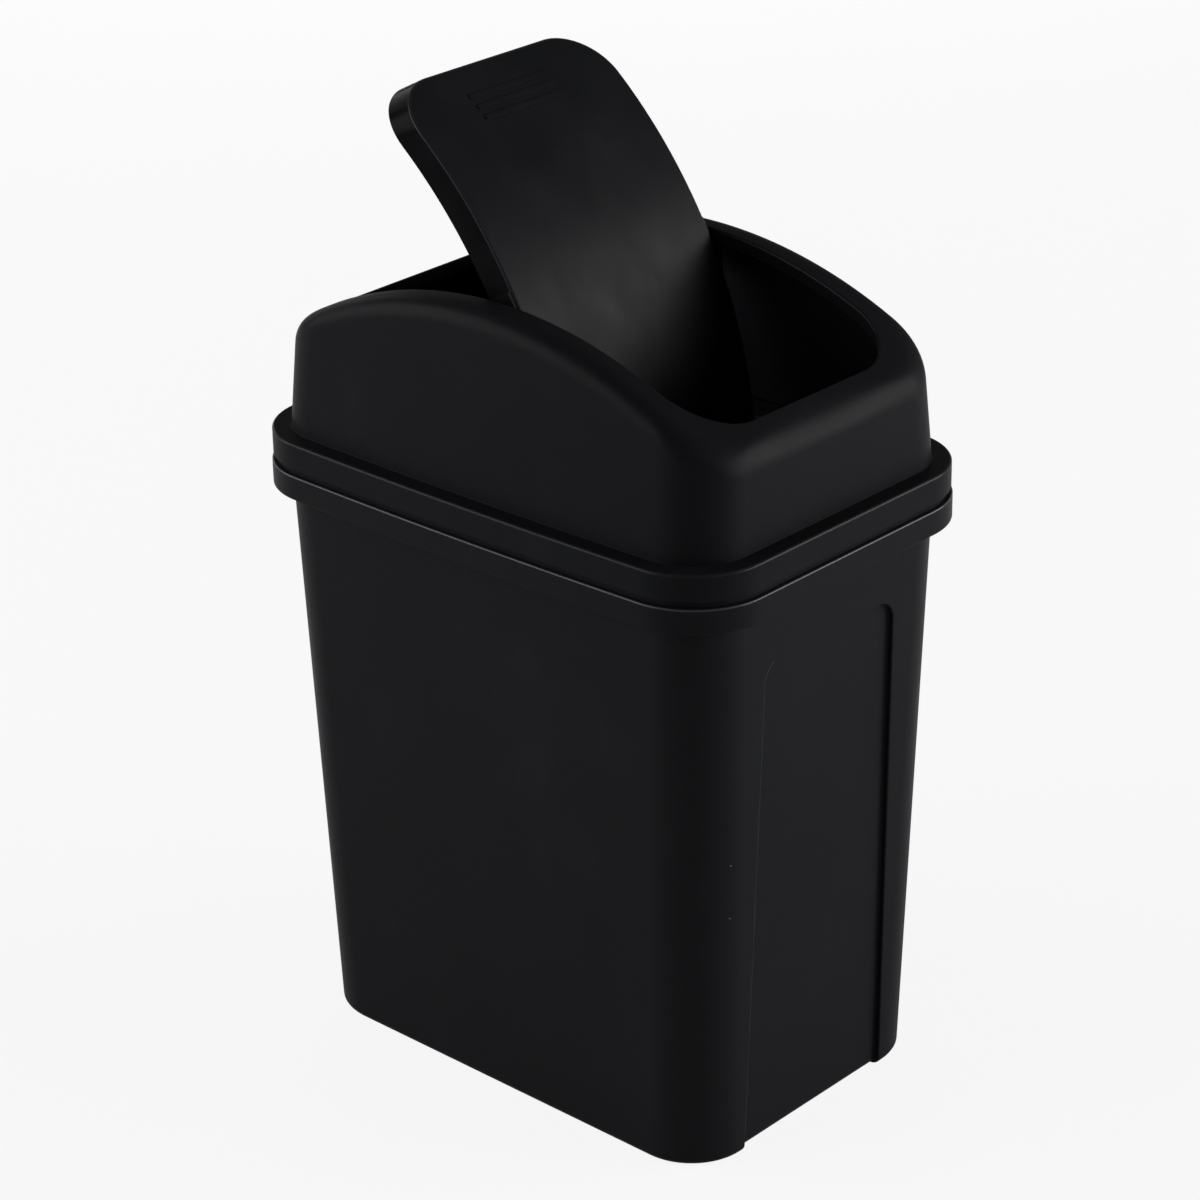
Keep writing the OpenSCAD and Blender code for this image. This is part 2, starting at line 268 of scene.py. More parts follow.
def spots(half, radius, bow=0.0):
    """Points of an outline with these half sizes, corner radius and bow, seen from above"""
    reach = radius + bow * STEPS[:, 4:5]
    out = np.concatenate((reach, np.full_like(reach, radius)), 1)
    return STEPS[:, :2] * (half - radius) + STEPS[:, 2:4] * out


def ring(half, radius, z, bow=0.0):
    """Flat ring of an outline at height z"""
    points = spots(half, radius, bow)
    return np.column_stack((points, np.broadcast_to(z, len(points))))


def quarter(steps=EDGE_STEPS):
    """Sine and cosine pairs round a quarter turn, from flat to upright"""
    turn = [QUARTER * k / steps for k in range(steps + 1)]
    return [(math.sin(a), math.cos(a)) for a in turn]


def between_rings(low, high, steps):
    """Rings between two rings, spread evenly"""
    return [low + (high - low) * (k / steps) for k in range(1, steps)]


def hem(at, thick, depth, soft):
    """Rings round a wall's softened lower edge, where at gives the ring so far in and down"""
    near = [(0, soft), (soft * SOFT_MIDDLE, soft * SOFT_MIDDLE), (soft, 0)]
    far = [(thick - inward, short) for inward, short in near[::-1]]
    return [at(inward, depth - short) for inward, short in near + far]


def add_rings(bm, rings, closed=False):
    """Faces between neighbouring rings, and between the last and the first if closed"""
    made = [[bm.verts.new(p) for p in r] for r in rings]
    pairs = list(zip(made, made[1:])) + ([(made[-1], made[0])] if closed else [])
    for low, high in pairs:
        for i in range(len(low)):
            j = (i + 1) % len(low)
            bm.faces.new((low[i], low[j], high[j], high[i]))
    return made


def cap_across(bm, verts, height):
    """Close a ring with rows across X, at the height that a rule gives for each Y"""
    count = len(verts)
    reach = END_STEPS // 2
    middle = CORNER_STEPS + reach
    rows = [[verts[middle - reach + k] for k in range(END_STEPS + 1)]]
    for k in range(reach + 1, count // 2 - reach):
        right, left = verts[(middle - k) % count], verts[(middle + k) % count]
        inside = [right.co.lerp(left.co, c / END_STEPS) for c in range(1, END_STEPS)]
        rows.append([right, *(bm.verts.new((p.x, p.y, height(p.y))) for p in inside), left])
    opposite = middle + count // 2
    rows.append([verts[(opposite + reach - k) % count] for k in range(END_STEPS + 1)])
    for a, b in zip(rows, rows[1:]):
        for k in range(END_STEPS):
            bm.faces.new((a[k], b[k], b[k + 1], a[k + 1]))


def finish_mesh(bm, name):
    """Object from a bmesh, with its faces turned outward"""
    bmesh.ops.recalc_face_normals(bm, faces=bm.faces)
    mesh = bpy.data.meshes.new(name)
    bm.to_mesh(mesh)
    bm.free()
    piece = bpy.data.objects.new(name, mesh)
    bpy.context.scene.collection.objects.link(piece)
    return piece


def solid(rings, name):
    """Closed solid: faces between neighbouring rings, and one across each end"""
    bm = bmesh.new()
    made = add_rings(bm, rings)
    bm.faces.new(made[0])
    bm.faces.new(made[-1])
    return finish_mesh(bm, name)


def block(low, high):
    """Upright box between its lowest and highest corners"""
    bm = bmesh.new()
    bmesh.ops.create_cube(bm, size=1)
    middle = (Vector(low) + Vector(high)) / 2
    size = Vector(high) - Vector(low)
    for v in bm.verts:
        v.co = middle + Vector(v.co[i] * size[i] for i in range(3))
    return finish_mesh(bm, "block")


def rod(x0, x1, radius, z, tip=0.0):
    """Round rod along X at height z, with its tip at x1 chamfered"""
    toward = math.copysign(1, x1 - x0)
    stations = [(x0, radius), (x1 - toward * tip, radius)]
    if tip:
        stations.append((x1, radius - tip))
    turn = [2 * math.pi * k / ROD_STEPS for k in range(ROD_STEPS)]
    rings = [[(x, r * math.cos(a), z + r * math.sin(a)) for a in turn] for x, r in stations]
    return solid(rings, "rod")


def settle(piece):
    """Apply a piece's modifiers to its mesh"""
    graph = bpy.context.evaluated_depsgraph_get()
    mesh = bpy.data.meshes.new_from_object(piece.evaluated_get(graph))
    old = piece.data
    piece.modifiers.clear()
    piece.data = mesh
    bpy.data.meshes.remove(old)
    mesh.name = piece.name


def carve(piece, tool, operation):
    """Join a tool's solid to a piece, or take it away, and drop the tool"""
    step = piece.modifiers.new(operation.title(), "BOOLEAN")
    step.operation = operation
    step.object = tool
    step.solver = "EXACT"
    settle(piece)
    mesh = tool.data
    bpy.data.objects.remove(tool)
    bpy.data.meshes.remove(mesh)


def smooth(piece):
    """Clear edges of no length, and shade smoothly where faces meet gently"""
    bm = bmesh.new()
    bm.from_mesh(piece.data)
    bmesh.ops.dissolve_degenerate(bm, edges=bm.edges, dist=NO_LENGTH)
    bm.to_mesh(piece.data)
    bm.free()
    piece.data.shade_smooth()
    piece.data.set_sharp_from_angle(angle=SHARP_ANGLE)
    weigh = piece.modifiers.new("Weigh", "WEIGHTED_NORMAL")
    weigh.keep_sharp = True
    weigh.weight = FACE_WEIGHT
    settle(piece)


def within(value, limits):
    """True between two limits"""
    return limits[0] < value < limits[1]


def mark(piece, rule):
    """Choose each face's finish, by a rule on its middle and normal"""
    for face in piece.data.polygons:
        face.material_index = rule(face.center, face.normal)


# -------- bin

# Steps up the tub's wall, up a recess, and round its top corner
TUB_STEPS = 13
RECESS_STEPS = 15
RECESS_TURN_STEPS = 20
# Height at which a recess has its base width
RECESS_LOW = 0.001
# How far the solid that cuts a recess passes the base and the wall
CUT_BELOW = 0.002
CUT_OUTSIDE = 0.01
# Depth where a brim's rounding starts, in radii: it ends just outside the wall
BRIM_DEPTH = 0.95
# Painted highlight on one side of a recess's brim: how far a face turns outward, and at least
# to that side, and the brim's reach past the recess
BRIM_TURN = (0.15, 0.97)
BRIM_SIDE = 0.12
BRIM_REACH = 0.0012


class BinShape:
    """Outlines of the bin's tub, band and recesses"""

    def __init__(self, s):
        self.s = s
        self.base = np.array((s.base_x, s.base_y)) / 2
        self.top = np.array((s.top_x, s.top_y)) / 2
        self.draft = (self.top - self.base) / s.seam_z
        self.band = self.top + s.rim_out
        self.band_r = s.corner + s.rim_out

    def tub_ring(self, z, inset, more=0.0):
        """Ring of the tub's skin at height z, sunk in by a wall and by a fillet"""
        return ring(self.base + self.draft * z - inset - more, self.s.corner - inset, z)

    def band_ring(self, inset, z):
        """Ring of the rim's band, so far in from its outside"""
        return ring(self.band - inset, self.band_r - inset, z, self.s.bow)

    def fillet_rings(self, z0, inset):
        """Rings up the fillet that starts at height z0"""
        f = self.s.fillet
        turns = quarter(FILLET_STEPS)
        return [self.tub_ring(z0 + f * (1 - v), inset, f * (1 - u)) for u, v in turns]

    def rolled(self, inset, z, into, up, radius):
        """Quarter roll on the band: into is +1 inward, up is +1 upward, away from the corner"""
        turns = [(into * radius * (1 - u), up * radius * (1 - v)) for u, v in quarter()]
        return [self.band_ring(inset + inward, z + rise) for inward, rise in turns]

    def section(self):
        """Rings from under the base, up the outside, over the rim and down the inside"""
        s = self.s
        e = s.edge
        foot, foot_r = self.base - (s.foot + s.recess_d), s.corner - s.foot
        seam, flange = s.seam_z, s.seam_z - s.wall
        low = seam - s.band
        lip_out, lip_in = s.lip_in, s.lip_in + s.wall
        outside = np.linspace(s.fillet, flange - e, TUB_STEPS + 1)[1:]
        inside = np.linspace(seam - e, s.base_t + s.fillet, TUB_STEPS + 1)[1:]
        rings = [ring(foot - e, foot_r - e, s.hollow), ring(foot, foot_r, s.hollow - e)]
        rings += [ring(foot, foot_r, e), ring(foot + e, foot_r + e, 0)]
        rings += self.fillet_rings(0, 0)
        rings += [self.tub_ring(z, 0) for z in outside]
        rings += [self.tub_ring(flange, -e)]
        rings += [self.band_ring(s.wall + e, flange), self.band_ring(s.wall, flange - e)]
        rings += self.rolled(s.wall, low, -1, 1, e)[::-1]
        rings += self.rolled(0, low, 1, 1, e)
        rings += self.rolled(0, seam, 1, -1, s.rim_edge)[::-1]
        rings += [self.band_ring(lip_out - e, seam), self.band_ring(lip_out, seam + e)]
        rings += self.rolled(lip_out, s.lip_top, 1, -1, e)[::-1]
        rings += self.rolled(lip_in, s.lip_top, -1, -1, e)
        rings += [self.band_ring(lip_in, seam + e), self.band_ring(lip_in + e, seam)]
        rings += [self.tub_ring(seam, s.wall - e), self.tub_ring(seam - e, s.wall)]
        rings += [self.tub_ring(z, s.wall) for z in inside]
        return rings + self.fillet_rings(s.base_t, s.wall)[::-1][1:]

    def end_y(self, z, z0, inset):
        """Distance of the end wall from the middle at height z, with its fillet from height z0"""
        f = self.s.fillet
        up = min(max(z - z0, 0), f)
        sunk = f - math.sqrt(f**2 - (f - up) ** 2)
        return self.base[1] + self.draft[1] * max(z, z0) - inset - sunk

    def recess_ceiling(self, grow):
        """Height of the recess's top, grown by a margin"""
        return self.s.seam_z - self.s.recess_drop + grow

    def recess_width(self, z, grow):
        """Half width of the recess at height z, grown by a margin"""
        s = self.s
        r = s.recess_r
        middle = np.array((s.recess_top / 2 + grow - r, self.recess_ceiling(grow) - r))
        low = np.array((s.recess_base / 2 + grow, RECESS_LOW))
        reach = low - middle
        turn = math.atan2(reach[1], reach[0]) + math.acos(r / np.linalg.norm(reach))
        touch = middle + r * np.array((math.cos(turn), math.sin(turn)))
        if z <= low[1]:
            return low[0]
        if z < touch[1]:
            return low[0] + (touch[0] - low[0]) * (z - low[1]) / (touch[1] - low[1])
        return middle[0] + math.sqrt(max(r * r - (z - middle[1]) ** 2, 0))

    def recess_heights(self, grow, z0):
        """Heights of the recess's rows, from its foot up round its top corners"""
        s = self.s
        top = self.recess_ceiling(grow)
        turn = [top - s.recess_r * (1 - u) for u, _ in quarter(RECESS_TURN_STEPS)]
        rise = [z0 + s.fillet * (1 - v) for _, v in quarter(FILLET_STEPS)]
        return rise + list(np.linspace(rise[-1], turn[0], RECESS_STEPS + 1)[1:-1]) + turn

    def recess_solid(self, end, layers):
        """Solid between layers of rows, each row a half width, a distance out and a height"""
        bm = bmesh.new()
        rings = [rows + [(-x, y, z) for x, y, z in rows[::-1]] for rows in layers]
        made = add_rings(bm, [[(x * end, y * end, z) for x, y, z in r] for r in rings])
        for cap in (made[0], made[-1]):
            for i in range(len(cap) // 2 - 1):
                bm.faces.new((cap[i], cap[i + 1], cap[-2 - i], cap[-1 - i]))
        return finish_mesh(bm, "recess")

    def recess_back(self, end):
        """Solid that carries the end wall round the back of the recess, inside the tub"""
        s = self.s
        heights = self.recess_heights(s.wall, s.base_t)
        rows = [(self.recess_width(z, s.wall), z) for z in heights]
        back = [(w, self.end_y(z, s.base_t, s.wall) - s.recess_d, z) for w, z in rows]
        front = [(w, self.end_y(z, 0, 0) - s.wall / 2, z) for w, z in rows]
        return self.recess_solid(end, [back, front])

    def recess_cut(self, end):
        """Solid to take away for the recess, with a rounded foot and a rounded brim"""
        s = self.s
        foot, brim = s.recess_foot, s.recess_brim
        steps = [(foot * (u - 1), s.recess_d - foot * (1 - v)) for u, v in quarter()]
        steps += [(brim * (1 - v), brim * (BRIM_DEPTH - u)) for u, v in quarter()]
        steps.append((brim, -CUT_OUTSIDE))
        layers = []
        for grow, depth in steps:
            heights = [-CUT_BELOW] + self.recess_heights(grow, 0)
            rows = [(self.recess_width(z, grow), self.end_y(z, 0, 0) - depth, z) for z in heights]
            layers.append(rows)
        return self.recess_solid(end, layers)


def build_bin(s):
    """The bin in one piece: tub, rim band, lip and the two end recesses"""
    shape = BinShape(s)
    piece = solid(shape.section(), "bin_shell")
    for end in (1, -1):
        carve(piece, shape.recess_back(end), "UNION")
        carve(piece, shape.recess_cut(end), "DIFFERENCE")
    smooth(piece)

    def finish(p, n):
        """The rim's outer top edge and one upright side of each recess's brim get a painted
        highlight
        """
        on_rim = s.seam_z - s.rim_edge < p.z < s.seam_z and within(n.z, RIM_TURN)
        sunk = shape.end_y(p.z, 0, 0) - abs(p.y)
        on_brim = sunk < s.recess_d / 2 and within(abs(n.y), BRIM_TURN)
        in_height = 2 * s.fillet < p.z < shape.recess_ceiling(s.recess_d)
        on_side = n.x > BRIM_SIDE and abs(p.x) < shape.recess_width(p.z, 0) + BRIM_REACH
        return PAINTED_HIGHLIGHT if on_rim or (on_brim and in_height and on_side) else SATIN

    mark(piece, finish)
    return piece


# -------- hood

# Steps round the ledge's edge, the shoulder outside and inside, and the opening's edge
LEDGE_STEPS = 8
SHOULDER_STEPS = 16
UNDER_STEPS = 10
OPENING_STEPS = 6
# Steps up the housing outside, across its top to the opening, and down its inside
HOUSING_STEPS = 8
TOP_STEPS = 3
INSIDE_STEPS = 5
# Rounds for finding the height where wall and arch would meet
MEETING_ROUNDS = 3
# Softened edges over the seam's gap and under the opening's lip
GAP_SOFT = 0.00015
LIP_SOFT = 0.0004
# How many walls smaller the shoulder is inside, and its least size there
INNER_SHOULDER = 1.5
LEAST_SHOULDER = 0.001
# How far the rod that bores a seat passes it on each side
BORE_PAST = 0.001
# How far a face on the opening's rolled edge, which has a painted highlight, turns to the arch's
# outside
OPENING_TURN = (0.1, 0.97)


class HoodShape:
    """Outlines of the hood's skirt, housing and opening"""

    def __init__(self, s, b):
        self.s = s
        self.b = b
        self.ledge_z = b.seam_z + s.skirt_h
        self.skirt = np.array((b.top_x, b.top_y)) / 2 + b.rim_out - s.skirt_in
        self.skirt_r = b.corner + b.rim_out - s.skirt_in
        self.foot = self.skirt - s.ledge
        self.foot_r = self.skirt_r - s.ledge
        self.lean = np.array((s.lean_x, s.lean_y))
        rise = s.crown_z - self.ledge_z
        end_drop = s.arch_r - math.sqrt(s.arch_r**2 - self.foot[1] ** 2)
        border = np.array((s.side_border, s.end_border))
        self.opening = self.foot - self.lean * (rise, rise - end_drop) - border

    def arch(self, y, sunk=0.0):
        """Height of the arched top at a distance y from mid-length"""
        return self.s.crown_z - self.s.arch_r + np.sqrt((self.s.arch_r - sunk) ** 2 - y * y)

    def wall_spots(self, z, inset):
        """Points on the housing's wall at height z, which may be one for each step"""
        up = np.broadcast_to(z, len(STEPS))[:, None] - self.ledge_z
        return spots(self.foot - inset - self.lean * up, self.foot_r - inset, self.b.bow)

    def wall_ring(self, z, inset):
        """Ring of the housing's wall at height z"""
        return np.column_stack((self.wall_spots(z, inset), np.broadcast_to(z, len(STEPS))))

    def skirt_ring(self, inset, z):
        """Ring of the skirt, so far in from its outside"""
        return ring(self.skirt - inset, self.skirt_r - inset, z, self.b.bow)

    def opening_ring(self, grow, depth):
        """Ring round the opening, grown by a margin and so far below the arched top"""
        points = spots(self.opening + grow, self.s.opening_r + grow)
        return np.column_stack((points, self.arch(points[:, 1]) - depth))

    def shoulder_rings(self, steps, size, inset, sunk):
        """The rounded shoulder: curves that leave the wall and land on the arched top"""
        z = self.s.crown_z
        for _ in range(MEETING_ROUNDS):
            z = self.arch(self.wall_spots(z, inset)[:, 1], sunk)
        corner = self.wall_spots(z, inset)
        low = self.wall_spots(z - size, inset)
        toward = spots(self.opening, self.s.opening_r) - corner
        land = corner + toward / np.linalg.norm(toward, axis=1, keepdims=True) * size
        land_z = self.arch(land[:, 1], sunk)
        rings = []
        for k in range(steps + 1):
            t = k / steps
            a, b, c = (1 - t) ** 2, 2 * t * (1 - t), t * t
            height = a * (z - size) + b * z + c * land_z
            rings.append(np.column_stack((a * low + b * corner + c * land, height)))
        return rings

    def section(self):
        """Rings round the hood's section: up the outside, over the top, back down the inside"""
        s = self.s
        w, seam, ledge = s.wall, self.b.seam_z, self.ledge_z
        foot = seam + s.seam_gap
        rings = [self.skirt_ring(s.seam_in, seam), self.skirt_ring(s.seam_in, foot)]
        rings += [self.skirt_ring(GAP_SOFT, foot), self.skirt_ring(0, foot + GAP_SOFT)]
        r = s.ledge_edge
        turns = quarter(LEDGE_STEPS)
        rings += [self.skirt_ring(r * (1 - v), ledge - r * (1 - u)) for u, v in turns]
        r = s.foot_fillet
        rings += [self.wall_ring(ledge, -r)]
        rings += [self.wall_ring(ledge + r * (1 - v), -r * (1 - u)) for u, v in quarter()[1:]]
        shoulder = self.shoulder_rings(SHOULDER_STEPS, s.shoulder, 0, 0)
        rings += between_rings(rings[-1], shoulder[0], HOUSING_STEPS) + shoulder
        r = s.opening_edge
        top = between_rings(rings[-1], self.opening_ring(r, 0), TOP_STEPS)
        for points in top:
            points[:, 2] = self.arch(points[:, 1])
        turns = quarter(OPENING_STEPS)
        rings += top + [self.opening_ring(r * (1 - u), r * (1 - v)) for u, v in turns]
        rings += hem(self.opening_ring, w, s.lip_h, LIP_SOFT)
        rings += [self.opening_ring(w, w)]
        inner = max(s.shoulder - INNER_SHOULDER * w, LEAST_SHOULDER)
        rings += self.shoulder_rings(UNDER_STEPS, inner, w, w)[::-1]
        inside = self.wall_ring(ledge - w, w)
        rings += between_rings(rings[-1], inside, INSIDE_STEPS)
        return rings + [inside, self.skirt_ring(w, ledge - w), self.skirt_ring(w, seam)]


def build_hood(s, b):
    """The hood in one piece: skirt, ledge, arched housing, lip round the opening, two seats"""
    shape = HoodShape(s, b)
    bm = bmesh.new()
    add_rings(bm, shape.section(), closed=True)
    piece = finish_mesh(bm, "hood_shell")
    pivot_z = FLAP_SWING["pos_m"][2]
    # The seats end halfway up through the arched top
    low_z = pivot_z - s.seat_low
    top_z = s.crown_z - s.wall / 2 - s.seat_w**2 / (8 * s.arch_r)
    inner = float(shape.opening[0])
    outer = inner + s.seat_t
    for side in (1, -1):
        left, right = sorted((side * inner, side * outer))
        seat = block((left, -s.seat_w / 2, low_z), (right, s.seat_w / 2, top_z))
        carve(piece, seat, "UNION")
        bore = rod(side * (inner - BORE_PAST), side * (outer + BORE_PAST), s.bore_r, pivot_z)
        carve(piece, bore, "DIFFERENCE")
    smooth(piece)

    def finish(p, n):
        """The ledge's outer edge and the opening's rolled edge get a painted highlight"""
        low = shape.ledge_z - s.ledge_edge
        on_ledge = low < p.z < shape.ledge_z and within(n.z, RIM_TURN)
        out = Vector((0, p.y, p.z - s.crown_z + s.arch_r))
        near_top = out.length > s.arch_r - EDGE_DEPTH * s.opening_edge
        rolled = near_top and within(n.dot(out.normalized()), OPENING_TURN)
        return PAINTED_HIGHLIGHT if on_ledge or (rolled and n.x * p.x + n.y * p.y < 0) else SATIN

    mark(piece, finish)
    return piece


# -------- flap

# Steps round the flap's upper edge, along a pad, and round a bar's end
FLAP_STEPS = 7
PAD_STEPS = 12
BAR_STEPS = 16
# Softened edges of the skirt and of the pads, and chamfer of the pins
SKIRT_SOFT = 0.00035
PAD_SOFT = 0.0003
PIN_CHAMFER = 0.0004
# Part of a bar's height that its softened edge takes
BAR_SOFT = 0.45
# Turn of a face to the arch's outside: underside below the first, edge with a painted
# highlight above the second, plate above the third
UNDERSIDE_TURN = -0.5
EDGE_TURN = 0.1
PLATE_TURN = 0.98
# Half width of the satin patch round the bars, in lengths of a bar
PATCH_WIDTH = 0.6


def build_flap(s, h, b):
    """The flap in one piece: arched plate, skirt, pads, pins and raised bars"""
    hood = HoodShape(h, b)
    half = hood.opening - (s.gap_x, s.gap_y)
    radius = h.opening_r - (s.gap_x + s.gap_y) / 2
    drop = h.crown_z - FLAP_SWING["pos_m"][2]

    def arch(y, lift=0.0):
        """Height of the plate over the pivot, at a distance y from mid-length"""
        return drop - h.arch_r + lift + np.sqrt(h.arch_r**2 - y * y)

    def plan_ring(inset, depth):
        """Ring of the flap, so far in from its outline and so far below the plate's top"""
        points = spots(half - inset, radius - inset)
        return np.column_stack((points, arch(points[:, 1]) - depth))

    e, t = s.edge, s.thick
    rings = [plan_ring(e * (1 - u), e * (1 - v)) for u, v in quarter(FLAP_STEPS)]
    rings += hem(plan_ring, t, s.skirt, SKIRT_SOFT)
    rings += [plan_ring(t, t + SKIRT_SOFT), plan_ring(t + SKIRT_SOFT, t)]
    bm = bmesh.new()
    made = add_rings(bm, rings)
    cap_across(bm, made[0], arch)
    cap_across(bm, made[-1], lambda y: arch(y, -t))
    piece = finish_mesh(bm, "flap_shell")

    for side in (1, -1):
        carve(piece, pad(s, half[0], arch, side), "UNION")
        start, stop = side * (half[0] - t / 2), side * (half[0] + s.pin_out)
        carve(piece, rod(start, stop, s.pin_r, 0, PIN_CHAMFER), "UNION")
    for k in range(s.bars):
        y = half[1] - s.bar_in + s.bar_pitch * (k - (s.bars - 1) / 2)
        carve(piece, bar(s, y, arch), "UNION")
    smooth(piece)

    def finish(p, n):
        """The skirt, pads and pins are polished, and the plate's rolled edge gets a painted
        highlight
        """
        out = Vector((0, p.y, p.z - drop + h.arch_r))
        turn = n.dot(out.normalized())
        on_patch = abs(p.x) < s.bar_l * PATCH_WIDTH and 0 < p.y < half[1] - s.bar_in / 2
        if on_patch or turn < UNDERSIDE_TURN or turn > PLATE_TURN:
            return SATIN
        near_top = out.length > h.arch_r - s.edge * EDGE_DEPTH
        return PAINTED_HIGHLIGHT if turn > EDGE_TURN and near_top else POLISHED

    mark(piece, finish)
    swing = Matrix.Rotation(s.open_angle, 4, "X")
    piece.data.transform(Matrix.Translation(FLAP_SWING["pos_m"]) @ swing)
    return piece


def pad(s, side_x, arch, side):
    """Pad round one pin, on the flap's side"""
    inner, outer = side_x - s.thick / 2, side_x + s.pad_t
    soft = outer - PAD_SOFT
    rings = []
    for k in range(PAD_STEPS + 1):
        y = -s.pad_l / 2 + s.pad_l * k / PAD_STEPS
        top, low = arch(y, -s.pad_drop), arch(y, -s.skirt + s.pad_lift)
        face = soft if k in (0, PAD_STEPS) else outer
        section = [(inner, low), (soft, low), (face, low + PAD_SOFT)]
        section += [(face, top - PAD_SOFT), (soft, top), (inner, top)]
        rings.append([(side * x, y, z) for x, z in section])
    return solid(rings, "pad")


def bar(s, y, arch):
    """One raised bar with round ends and a softened top"""
    straight = (s.bar_l - s.bar_w) / 2
    soft = s.bar_h * BAR_SOFT
    middle = soft * SOFT_MIDDLE
    levels = [(0, -s.thick / 2), (0, s.bar_h - soft), (middle, s.bar_h - middle), (soft, s.bar_h)]
    rings = []
    for inset, lift in levels:
        r = s.bar_w / 2 - inset
        points = []
        for end, start in ((1, -QUARTER), (-1, QUARTER)):
            for k in range(BAR_STEPS + 1):
                a = start + math.pi * k / BAR_STEPS
                py = y + r * math.sin(a)
                points.append((end * straight + r * math.cos(a), py, arch(py, lift)))
        rings.append(points)
    return solid(rings, "bar")


# -------- materials

# Sockets of a colour's Mix node: factor, first and second colour, and result
MIX_FACTOR, MIX_FIRST, MIX_SECOND, MIX_RESULT = 0, 6, 7, 2
WHITE = (1, 1, 1, 1)
# Refractive index of the satin and rubbed finishes
PLASTIC_IOR = 1.5
# Share of the grain and of the mottle that the painted-highlight edges and the polished finish
# keep
SLEEK_GRAIN = 0.3
# How far each body's pattern is shifted, so that no two are alike, and which way
SEEDS = {"bin": 0.0, "hood": 3.1, "flap": 7.3}
SEED_SHIFT = (1, 0.7, 0)
# Noises: scale, detail and roughness, where the grain's scale comes from its size
CLOUD = (24.0, 3.0, 0.5)
FLOW = (70.0, 3.0, 0.6)
SCRATCH = (9.0, 2.0, 0.7)
GRAIN = (2.0, 0.6)
# How flow marks and scratches are stretched
FLOW_STRETCH = (1.0, 1.0, 0.22)
SCRATCH_STRETCH = (40.0, 60.0, 3.0)
# Limits: rubs show where clouds and flow marks are both strong, scratches where their noise is
RUB_CLOUD = (0.52, 0.72)
RUB_FLOW = (0.45, 0.7)
SCRATCH_FADE = (0.70, 0.78)
SCRATCH_SHARE = 0.35
# Specks of dust: cells to a metre, fade round a cell's middle, and chance above which it has one
SPECK_SCALE = 85.0
SPECK_FADE = (0.018, 0.034)
SPECK_CHANCE = 0.94
# Shares of rubs, clouds and scratches in the colour, and the cloud's value that adds nothing
RUB_TONE = 0.4
CLOUD_TONE = 0.5
SCRATCH_TONE = 0.5
CLOUD_START = 0.4
# Middle of a noise, and shares of flow marks, scratches and specks in the roughness
NOISE_MIDDLE = 0.5
FLOW_ROUGH = 0.7
SCRATCH_ROUGH = 0.12
SPECK_ROUGH = 0.4


class Wire:
    """A shader socket that takes part in plain arithmetic"""

    def __init__(self, graph, socket):
        self.graph = graph
        self.socket = socket

    def _math(self, operation, *values):
        """Result of one Math node"""
        settings = {"operation": operation}
        return self.graph.wire("ShaderNodeMath", 0, settings, dict(enumerate(values)))

    def __add__(self, other):
        return self._math("ADD", self, other)

    __radd__ = __add__

    def __sub__(self, other):
        return self._math("SUBTRACT", self, other)

    def __rsub__(self, other):
        return self._math("SUBTRACT", other, self)

    def __mul__(self, other):
        return self._math("MULTIPLY", self, other)

    __rmul__ = __mul__

    def above(self, other):
        """1 where this is above a value"""
        return self._math("GREATER_THAN", self, other)

    def most(self, other):
        """The larger of the two"""
        return self._math("MAXIMUM", self, other)

    def fade(self, low, high):
        """0 below low, 1 above high, smooth between"""
        settings = {"interpolation_type": "SMOOTHSTEP"}
        sockets = {"Value": self, "From Min": low, "From Max": high}
        return self.graph.wire("ShaderNodeMapRange", "Result", settings, sockets)


class Graph:
    """Node tree of one material or world"""

    def __init__(self, owner):
        owner.use_nodes = True
        self.tree = owner.node_tree
        self.tree.nodes.clear()

    def feed(self, socket, value):
        """Link a wire to a socket, or set the socket's value"""
        if isinstance(value, Wire):
            self.tree.links.new(value.socket, socket)
        else:
            socket.default_value = value

    def node(self, kind, settings=None, sockets=None):
        """One node: its settings first, then the values or links of its sockets"""
        made = self.tree.nodes.new(kind)
        for key, value in (settings or {}).items():
            setattr(made, key, value)
        for key, value in (sockets or {}).items():
            self.feed(made.inputs[key], value)
        return made

    def wire(self, kind, output, settings=None, sockets=None):
        """Output of a new node"""
        return Wire(self, self.node(kind, settings, sockets).outputs[output])

    def noise(self, where, scale, detail, roughness):
        """Strength of a noise, from 0 to 1"""
        sockets = {"Vector": where, "Scale": scale, "Detail": detail, "Roughness": roughness}
        return self.wire("ShaderNodeTexNoise", "Fac", sockets=sockets)

    def vector(self, operation, first, second):
        """Vector Math on two vectors"""
        settings = {"operation": operation}
        return self.wire("ShaderNodeVectorMath", "Vector", settings, {0: first, 1: second})

    def blend(self, factor, first, second):
        """Mix of two colours"""
        sockets = {MIX_FACTOR: factor, MIX_FIRST: first, MIX_SECOND: second}
        return self.wire("ShaderNodeMix", MIX_RESULT, {"data_type": "RGBA"}, sockets)

    def mix_shaders(self, factor, first, second):
        """Mix of two shaders"""
        return self.wire("ShaderNodeMixShader", 0, sockets={0: factor, 1: first, 2: second})


def rgba(values):
    """Colour with full alpha"""
    return (*values, 1.0)


